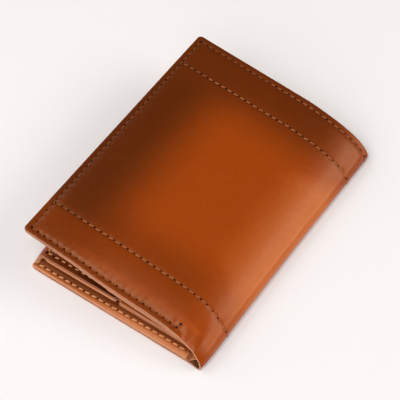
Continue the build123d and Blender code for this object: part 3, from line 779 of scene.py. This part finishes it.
# --------------------------------------------------------------- stitching
def surface(u, y, lift=0.0):
    """Point on the hide's outer face, with its along, across and up directions."""
    u, y = np.asarray(u, float), np.asarray(y, float)
    e = 0.15

    def pt(uu, yy):
        p, t, n = MAIN.at(uu)
        q = p + n * (hide_relief(uu, yy) + hide_base(uu, yy) + lift)[..., None]
        return np.stack([q[..., 0], yy, q[..., 1]], -1)
    p = pt(u, y)
    tu = pt(u + e, y) - pt(u - e, y)
    ty = pt(u, y + e) - pt(u, y - e)
    tu /= np.linalg.norm(tu, axis=-1, keepdims=True)
    ty /= np.linalg.norm(ty, axis=-1, keepdims=True)
    n = np.cross(tu, ty)
    n /= np.linalg.norm(n, axis=-1, keepdims=True)
    _, _, n2 = MAIN.at(u)
    sgn = np.sign(n[..., 0] * n2[..., 0] + n[..., 2] * n2[..., 1])
    return p, tu, ty, n * sgn[..., None]


def stitch_mesh(name, spots, length, mats, width=0.70, high=0.29, slant=0.14, sink=0.0, hole=0.42, dark=None, lift=None, first=True):
    """Stitches: short twisted strands that dive into the leather at both ends,
    with an awl hole between each two. spots: (centres, along, ups, pitch)."""
    V, F, MI, LV = [], [], [], []
    nseg, ns = 8, 8
    k = 0
    for C, A, N, pitch in spots:
        for c, a, n in zip(C, A, N):
            length_ = length * min(1.0, pitch / PITCH)
            k += 1
            w = np.cross(n, a)
            w /= np.linalg.norm(w)
            sl = slant + 0.05 * math.sin(k * 2.3)
            a2 = a * math.cos(sl) + w * math.sin(sl)
            w2 = np.cross(n, a2)
            ln = length_ * (1 + 0.05 * math.sin(k * 1.7))
            wd = width * (1 + 0.06 * math.sin(k * 3.1))
            m_ = 0 if dark is None else dark(c)
            b0 = len(V)
            for t in np.linspace(-1, 1, nseg + 1):
                prof = math.sqrt(max(0.0, 1 - abs(t) ** 3.0))
                ctr = c + a2 * (t * ln / 2) + n * (high * 0.15 - 0.26 * abs(t) ** 2.4 + sink)
                rw, rh = wd / 2 * (0.5 + 0.5 * prof), high * (0.5 + 0.5 * prof)
                for q in range(ns):
                    an = 2 * math.pi * q / ns
                    V.append(ctr + w2 * rw * math.cos(an) + n * rh * math.sin(an))
                    LV.append((t * ln / 2 * 3 + k * 10, an * 1.1, 0))
            for i in range(nseg):
                for q in range(ns):
                    q2 = (q + 1) % ns
                    F.append((b0 + i * ns + q, b0 + (i + 1) * ns + q, b0 + (i + 1) * ns + q2, b0 + i * ns + q2))
                    MI.append(m_)
            F.append(tuple(b0 + q for q in reversed(range(ns))))
            F.append(tuple(b0 + nseg * ns + q for q in range(ns)))
            MI += [m_, m_]
        for j, (c0, a, n) in enumerate(zip(C, A, N)):
            for sg in ((-1, 1) if j == len(C) - 1 else (-1,)):
                if j == 0 and sg == -1 and not first:
                    continue
                c = c0 + a * sg * (pitch / 2)
                if lift is not None:
                    c = c + n * lift(c0)
                w = np.cross(n, a)
                w /= np.linalg.norm(w)
                # each hole is a small dark disc: painted shade for the hole's inside
                b0, m_ = len(V), 10
                sz = hole * (1 + 0.18 * math.sin(j * 4.7 + k))
                V.append(c + n * 0.07)
                LV.append(tuple(c))
                for q in range(m_):
                    an = 2 * math.pi * q / m_
                    V.append(c + a * sz * 1.1 * math.cos(an) + w * sz * math.sin(an) + n * 0.09)
                    LV.append(tuple(c + a * math.cos(an)))
                V.append(c - n * 0.25)
                LV.append(tuple(c))
                for q in range(m_):
                    q2 = (q + 1) % m_
                    F.append((b0, b0 + 1 + q, b0 + 1 + q2))
                    F.append((b0 + 1 + m_, b0 + 1 + q2, b0 + 1 + q))
                    MI += [1, 1]
    return build(name, V, F, mats, MI, LV)


def rows_on_hide(rows):
    """rows: ("u", y at u, u0, u1) or ("y", u, y0, y1)."""
    out = []
    for kind, fix, a, b in rows:
        if kind == "u":
            u = run(a, b)
            y = fix(u)
            p, tu, ty, n = surface(u, y)
            al = tu + ty * ((fix(u + 0.1) - y) / 0.1)[:, None]
            al /= np.linalg.norm(al, axis=-1, keepdims=True)
        else:
            y = run(a, b)
            p, tu, ty, n = surface(np.full_like(y, fix), y)
            al = ty
        out.append((list(p), list(al), list(n), spacing(a, b)))
    return out


row_lo = lambda off: (lambda u: yc_of(u) - HALF + off)
row_hi = lambda off: (lambda u: far_of(u) + HALF - off)
THREADS = [M_THREAD, M_HOLE, M_THREAD_DARK, M_THREAD_MID]
near_lift = lambda c: 0.15 if c[1] < YC - HALF + 6.0 else (0.08 if c[0] < 4.0 else 0.0)
# on the burnished left part the thread is dyed with the leather
dyed = lambda c: 2 if c[0] < 1.5 else (3 if c[1] < YC - HALF + 6.0 or c[0] < 34.0 else 0)
dyed_x = lambda c: 3 if c[0] < 12.0 else 0
spots = rows_on_hide([("u", row_lo(EDGE_ROW), *ROW_U), ("u", row_hi(EDGE_ROW), UM2 + 0.4, U_R - 0.2), ("y", U_R, *ROW_Y)])
# the near row's last stitch turns up
pe, te, ye, ne = surface(np.array([U_NEAR_STOP - 0.2]), np.array([YC - HALF + EDGE_ROW + 0.9]))
spots.append(([pe[0]], [(0.94 * ye[0] - 0.34 * te[0])], [ne[0]], 1.9))
st_cover = stitch_mesh("stitches_cover_edge", spots, 2.3, THREADS, width=0.64, hole=0.35, dark=dyed, lift=near_lift)
st_cross = stitch_mesh("stitches_cover_cross", rows_on_hide([
    ("u", row_lo(CROSS_ROW), *CROSS_U), ("u", row_hi(CROSS_ROW), *CROSS_U)]), 2.35, THREADS, dark=dyed_x, hole=0.36, lift=lambda c: 0.07)
st_spine = stitch_mesh("stitches_spine", rows_on_hide([
    ("u", row_hi(EDGE_ROW), U_TUCK + 3.6, UM2 + 0.4), ("u", row_lo(CROSS_ROW), U_TUCK + 3.6, UM2 + 0.4),
    ("u", row_hi(CROSS_ROW), U_TUCK + 3.6, UM2 + 0.4)]), 2.2, THREADS, hole=0.36, first=False)
st_under = stitch_mesh("stitches_back_outside", rows_on_hide([
    ("u", row_lo(EDGE_ROW), U_FOLD1 + 4.0, U_TUCK - 4.0), ("u", row_hi(EDGE_ROW), U_FOLD1 + 4.0, U_TUCK + 1.0),
    ("u", row_lo(CROSS_ROW), U_FOLD1 + 4.0, U_TUCK + 1.0), ("u", row_hi(CROSS_ROW), U_FOLD1 + 4.0, U_TUCK + 1.0)]),
    2.35, THREADS, high=0.17, sink=-0.05)
fy0, fy1 = YB - FLAP_HALF + EDGE_ROW, YB + FLAP_HALF - EDGE_ROW
FROW = U_FOLD0 - 0.4
st_flap = stitch_mesh("stitches_flap", rows_on_hide([
    ("u", lambda u: np.full_like(u, fy0), EDGE_ROW + 0.2, FROW), ("u", lambda u: np.full_like(u, fy1), EDGE_ROW + 0.2, FROW),
    ("y", EDGE_ROW, fy0 + 0.2, fy1 - 0.2), ("y", FROW, fy0 + 0.2, fy1 - 0.2)]), 2.0, [M_THREAD_LIGHT, M_HOLE], width=0.72, hole=0.55)
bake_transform(st_cover)
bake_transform(st_cross)
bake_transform(st_spine)
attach(st_under, "back")
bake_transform(st_flap)
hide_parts("cover_edge_stitches")
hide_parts("cover_cross_stitches")
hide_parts("spine_stitches")
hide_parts("flap_stitches")


# --------------------------------------------------------- layers inside the wallet
def back_track(z, x0, x1):
    return straight((x0, z), (x1, z), flip=True)


def hide_track(dep, u0, u1):
    """Follows the outer hide at a depth inside it."""
    us = np.linspace(u0, u1, max(8, int(abs(u1 - u0) / 0.3)))
    p, t, n = MAIN.at(us)
    return Track(p - n * dep)


def layer(name, track, y0, y1, thick, mats, replaces, ride=None, blend=None, r0=0.0, r1=0.0, mouth=None,
          wob=0.05, seed=0, bulge=0.25, coarse=1.6, relief=None, burn=None, fine_u=False, hem=0.0):
    """A leather or cloth layer lying under a track. mouth: 0 or 1, the end that is
    a pocket's mouth, with a creased line beside it."""
    L = track.length
    n0 = [0.0, 0.05, 0.15, 0.35, 0.6, 0.9, 1.25, 1.6]
    line_at = None if mouth is None else (1.7 if mouth == 0 else L - 1.7)
    mids = dense(2.0, L - 2.0, 0.55 if fine_u else coarse, ([line_at] if mouth is not None else []), 0.3, 0.7)
    us = np.unique(np.round(np.concatenate([n0, mids, L - np.array(n0)]), 4))
    w = y1 - y0
    vs = dense(0.0, w, coarse, [0.0, 2.4, w - 2.4, w], 0.3, 0.8) / w

    def inset(u):
        h = np.zeros_like(u)
        for start_, r, sg in ((0.0, r0, 1), (L, r1, -1)):
            if r > 0:
                q = np.clip((u - start_) * sg, 0, r)
                h = h + (r - np.sqrt(np.maximum(0, r * r - (r - q) ** 2)))
        return h

    def rel(u, y):
        h = np.zeros_like(u)
        if line_at is not None:
            h = h - 0.10 * gauss(u - line_at, 0.32)
        if relief is not None:
            h = h + relief(u, y)
        return h

    if burn is None:
        burn = lambda u, y: 0.85 - 0.45 * np.exp(-np.minimum(np.minimum(y - y0, y1 - y), np.minimum(u, L - u)) / 1.2)
    if hem:
        # the long edges are turned under
        plain_ = thick
        thick = lambda u, y: plain_ + hem * (1 - smooth((np.minimum(y - y0, y1 - y) - 0.9) / 0.35))
        vs = np.unique(np.round(np.concatenate([vs, np.array([0.85, 0.95, 1.05, 1.15, 1.28]) / w,
                                                1 - np.array([0.85, 0.95, 1.05, 1.15, 1.28]) / w]), 6))
    ob = sheet(name, track, us, vs, lambda u: y0 + inset(u), lambda u: y1 - inset(u), thick, mats,
               relief=rel, inner_relief=0.5, bulge=bulge, wob=wob, seed=seed, burn=burn)
    if blend:
        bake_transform(ob)
    else:
        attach(ob, ride)
    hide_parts(*replaces)
    return ob


INN = [M_IN, M_IN_EDGE]
LIN = [M_LIN, M_LIN_EDGE]
yb0, yb1 = YB - HALF, YB + HALF
MARGIN_U = (3.2, 73.0)


def margin_relief(u, y):
    d = np.minimum(y - yb0, yb1 - y)
    x = u + 1.2
    h = -0.15 * gauss(d - EDGE_ROW, 0.6) - 0.30 * np.clip(1 - d / EDGE_ROW, 0, 1) ** 2
    return h + 0.05 * beat(x, MARGIN_U) * (gauss(d - EDGE_ROW + 1.0, 0.8) + gauss(d - EDGE_ROW - 1.0, 0.8))


def margin_stain_and_painted_shade(u, y):
    d = np.minimum(y - yb0, yb1 - y)
    b = 0.06 + 0.42 * smooth((46.0 - u) / 26.0) * smooth((d - 0.25) / 0.5)
    # waxed and rubbed dark along the stitches, with painted shadow from the layers above added in
    b = b + 0.85 * gauss(d - 2.05 - 1.0 * smooth((u - 1.8) / 66.0), 0.85)
    # inside the stitch rows the facing is painted near black: painted shade where it lies under the pockets and the
    # flap
    return b + (1.18 - b) * smooth((d - 2.2 - 0.5 * smooth(u / 60.0)) / 1.1)


layer("back_lining_cloth", back_track(1.3, 2.2, 76.4), yb0 + 0.12, yb1 - 0.12, 0.3, LIN, ["back_lining"],
      ride="back", seed=1)
layer("back_note_wall", back_track(1.8, 1.6, 75.8), yb0 + 0.10, yb1 - 0.10, 0.49, INN,
      ["back_note_divider"], ride="back", seed=2)
layer("back_facing", back_track(2.6, 1.2, 75.0), yb0 + 0.02, yb1 - 0.02, 0.79, INN, ["back_inner_panel"],
      ride="back", seed=3, relief=margin_relief, burn=margin_stain_and_painted_shade, fine_u=True, coarse=1.2)
z = 2.6
for i, x1 in enumerate((8.0, 25.0, 40.8)):
    layer("back_slot_%d" % (i + 1), back_track(z + 0.9, x1, 74.5), yb0 + (5.9, 5.6, 4.2)[i], yb1 - (5.9, 5.6, 4.2)[i], 0.87, INN,
          ["back_card_slot_%d" % (i + 1)], ride="back", mouth=0, seed=4 + i,
          hem=(1.75 if i == 2 else 0.0))
    z += 0.9

# the flap's lining runs on round the inside of the left fold
u_in = u_where(0.2, U_FOLD0, U_FOLDM + 2.5)
def lip(u, y):
    """The lining's long edges are turned under, and stand out past the flap's own."""
    d = np.minimum(y - hide_lo(u) + 0.45, hide_hi(u) - y)
    return 0.68 + 0.75 * (1 - smooth((d - 1.3) / 0.4)) * smooth((U_FOLD0 + 0.5 - u) / 3.0)


FL = dict(thick=lip, relief=None, base=hide_base, mats=INN, bulge=0.25, wob=0.04, seed=8)
fl_us = np.unique(np.round(np.concatenate([[0.05, 0.1, 0.2, 0.35, 0.6, 0.9, 1.3], dense(1.8, U_FOLD0 - 2, 1.6, [1.8], 0.4, 0.8),
                                            np.arange(U_FOLD0 - 1.7, u_in + 1.2, 0.3)]), 4))


class Deep:
    """The hide's line read at a depth inside it, keeping the hide's own stations."""
    def __init__(self, dep):
        self.dep = dep

    def at(self, u):
        p, t, n = MAIN.at(u)
        return p - n * self.dep, t, n


flap_lining = sheet("flap_lining_leather", Deep(LEATHER), fl_us, dense(0, 1, 0.012, [0, 1], 0.0025, 0.008),
                    lambda u: hide_lo(u) + 0.08 - 0.5 * smooth((U_FOLD0 - u) / 3.0), lambda u: hide_hi(u) - 0.08,
                    burn=lambda u, y: 0.8 - 0.4 * np.exp(-np.minimum(y - hide_lo(u), hide_hi(u) - y) / 1.2), **FL)
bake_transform(flap_lining)
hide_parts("flap_lining")

# the cover's layers bend with it into the spine
yc0, yc1 = YC - HALF, YC + HALF
U_IN = u_where(74.6, u_nose, U_END)
U_IN2 = u_where(70.5, u_nose, U_END)
SC = ("spine", "cover", *COVER_BLEND)
layer("cover_lining_cloth", hide_track(LEATHER, U_IN - 0.6, U_END - 0.15), yc0 + 0.10, yc1 - 0.10, 0.3, LIN,
      ["cover_lining"], blend=SC, r1=1.6, seed=9)
layer("cover_note_wall", hide_track(LEATHER + 0.3, U_IN, U_END - 0.1), yc0 + 0.12, yc1 - 0.12, 0.39, INN,
      ["cover_note_divider"], blend=SC, r1=1.6, seed=10)
layer("cover_facing", hide_track(LEATHER + 0.7, U_IN + 1.0, U_END - 0.2), yc0 + 0.18, yc1 - 0.18, 0.39, INN,
      ["cover_inner_panel"], blend=SC, r1=1.6, seed=11)
dep = LEATHER + 1.1
for i, s1 in enumerate((14.0, 27.0, 40.0)):
    layer("cover_slot_%d" % (i + 1), hide_track(dep, U_IN2 + 0.8 * i, U_END - s1), yc0 + 0.20 + 0.12 * i,
          yc1 - 0.20 - 0.12 * i, 0.58, INN, ["cover_card_slot_%d" % (i + 1)], blend=SC, mouth=None,
          seed=12 + i)
    dep += 0.6

# stitches of the sewn margin on the back's inner face
spots = []
for sgn in (-1, 1):
    xs = run(*MARGIN_U)
    off = 1.85 + 1.0 * smooth((xs - 3.0) / 66.0)
    ys = (yb0 + off) if sgn < 0 else (yb1 - off)
    spots.append(([np.array([x, y, 2.6 - 0.13]) for x, y in zip(xs, ys)], [np.array([1.0, 0, 0])] * len(xs),
                  [np.array([0, 0, 1.0])] * len(xs), spacing(*MARGIN_U)))
st_margin = stitch_mesh("stitches_back_margin", spots, 2.3, [M_THREAD_LIGHT, M_HOLE_SOFT], width=0.78, high=0.36, hole=0.33)
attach(st_margin, "back")
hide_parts("back_margin_stitches")


# the spine's inner strips: they hug the hollow of the fold
def strip(name, dep_, t0, t1, y0, y1, thick, mats, nodes, seed):
    tr = hide_track(dep_, t0, t1)
    us = np.unique(np.round(np.linspace(0, tr.length, 40), 4))
    vs = dense(0.0, 1.0, 2.0 / (y1 - y0), [0.0, 1.0], 0.35 / (y1 - y0), 1.0 / (y1 - y0))
    ob = sheet(name, tr, us, vs, lambda u: np.full_like(u, y0), lambda u: np.full_like(u, y1), thick, mats,
               bulge=0.3, wob=0.08, seed=seed, burn=lambda u, y: 0.3 + 0 * u)
    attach(ob, "spine")
    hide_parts(*nodes)
    return ob


U_S0 = u_where(78.2, U_TUCK - 3, u_nose)
U_S1 = u_where(76.4, u_nose, U_END)
strip("spine_lining_cloth", 0.62, U_S0, U_S1, -HALF + 7.0, HALF - 0.9, 0.35, LIN, ["spine_lining"], 20)
# the note wall's loose tongue lies in the hollow, cut obliquely at this end
tongue = straight((76.1, 1.75), (78.9, 2.35), flip=True)
to_us = np.unique(np.round(np.linspace(0, tongue.length, 14), 4))
note_wall = sheet("spine_note_wall", tongue, to_us, dense(0, 1, 0.014, [0, 1], 0.003, 0.01),
                  lambda u: yb0 + 0.35 + 0.80 * u, lambda u: np.full_like(u, yb1 - 1.0), 0.5, INN, bulge=0.3, wob=0.04,
                  seed=21, burn=lambda u, y: 0.35 + 0 * u)
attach(note_wall, "spine")
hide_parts("spine_note_divider")

# ------------------------------------------------------------ floor, light, camera
floor_me = bpy.data.meshes.new("floor")
floor_me.from_pydata([(-4, -4, 0), (4, -4, 0), (4, 4, 0), (-4, 4, 0)], [], [(0, 1, 2, 3)])
floor = bpy.data.objects.new("floor", floor_me)
bpy.context.scene.collection.objects.link(floor)
M_FLOOR = bpy.data.materials.new("floor_paper")
M_FLOOR.use_nodes = True
fb = M_FLOOR.node_tree.nodes["Principled BSDF"]
fb.inputs["Base Color"].default_value = (0.878, 0.845, 0.838, 1)
fb.inputs["Roughness"].default_value = 0.9
fb.inputs["Specular IOR Level"].default_value = 0.1
floor_me.materials.append(M_FLOOR)
floor.location.z = -0.0001


def area(name, direction, distance, size, radiance, color=(1, 1, 1)):
    """A softbox aimed at the wallet, given by the radiance of its face."""
    L = bpy.data.lights.new(name, "AREA")
    L.shape = "RECTANGLE"
    L.size, L.size_y = size
    L.energy = radiance * math.pi * size[0] * size[1]
    L.color = color
    ob = bpy.data.objects.new(name, L)
    dv = Vector(direction).normalized()
    ob.location = dv * distance
    ob.rotation_mode = "QUATERNION"
    ob.rotation_quaternion = dv.to_track_quat("Z", "Y")
    bpy.context.scene.collection.objects.link(ob)
    return ob


area("overhead", (0.0, -0.35, 0.94), 1.4, (0.75, 0.75), 4.15)
area("right_back", (0.70, 0.48, 0.50), 1.5, (1.25, 0.62), 4.6, (1.0, 0.97, 0.94))
area("right_low", (0.86, 0.48, 0.18), 1.5, (1.1, 0.36), 0.7)
area("front", (0.05, -0.80, 0.60), 1.8, (2.0, 1.5), 2.05)
area("left_front", (-0.80, -0.10, 0.58), 1.8, (1.6, 1.4), 2.2)

world = bpy.data.worlds.new("studio")
world.use_nodes = True
bg = world.node_tree.nodes["Background"]
bg.inputs[0].default_value = (1.0, 0.985, 0.975, 1)
bg.inputs[1].default_value = 0.04
bpy.context.scene.world = world

cam_d = bpy.data.cameras.new("camera")
cam = bpy.data.objects.new("camera", cam_d)
bpy.context.scene.collection.objects.link(cam)
th, el = math.radians(34.6), math.radians(54.3)
fwd = Vector((-math.sin(th) * math.cos(el), math.cos(th) * math.cos(el), -math.sin(el)))
right = Vector((math.cos(th), math.sin(th), 0))
down = fwd.cross(right)
aim = Vector((45.0 - X0, 55.0 + yb0, 5.0))       # local y = 0 is the back's near edge
loc = aim - fwd * 560.5 - right * 1.15 - down * 7.5
cam.location = loc * 0.001
cam.rotation_mode = "QUATERNION"
cam.rotation_quaternion = Matrix((right, -down, -fwd)).transposed().to_quaternion()
cam_d.sensor_width = 36.0
cam_d.lens = 1400.0 / 400.0 * 36.0
cam_d.clip_start, cam_d.clip_end = 0.02, 20.0
bpy.context.scene.camera = cam

vs_ = bpy.context.scene.view_settings
vs_.view_transform = "Standard"
vs_.look = "None"
vs_.exposure = 0.0
vs_.gamma = 1.0
